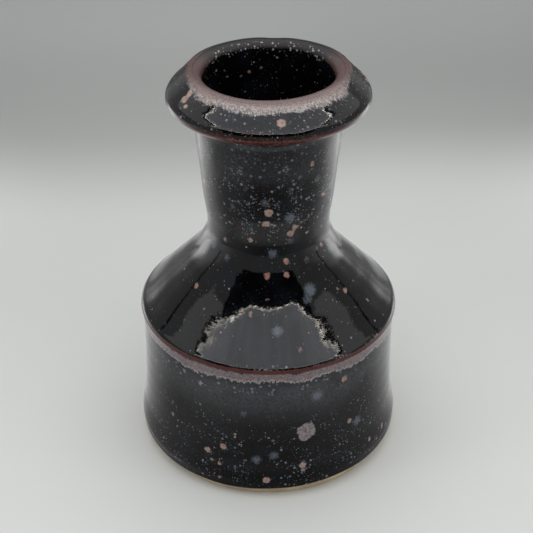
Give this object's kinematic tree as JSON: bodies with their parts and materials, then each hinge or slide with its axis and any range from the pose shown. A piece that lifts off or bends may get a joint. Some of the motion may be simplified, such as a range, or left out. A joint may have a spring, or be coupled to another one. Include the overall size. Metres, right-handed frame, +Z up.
{
  "type": "ceramic bud vase",
  "caption": "Hand-thrown bud vase: low drum body with a sharp shoulder edge, flared neck and sloping wedge collar, in speckled black glaze over buff stoneware.",
  "frame": {"origin": "centre of the foot, on the surface that the vase stands on", "axes": "+Z up along the axis that the vase is turned around; +X and +Y are any two directions across it"},
  "size_m": [0.0836, 0.0836, 0.1258],
  "materials": {
    "stoneware": "matt, unglazed",
    "black_glaze": "glossy"
  },
  "bodies": {
    "root": {"clay_drum": "stoneware", "clay_shoulder_and_neck": "stoneware", "clay_collar": "stoneware", "outer_glaze": "black_glaze", "liner_glaze": "black_glaze"}
  },
  "joints": []
}
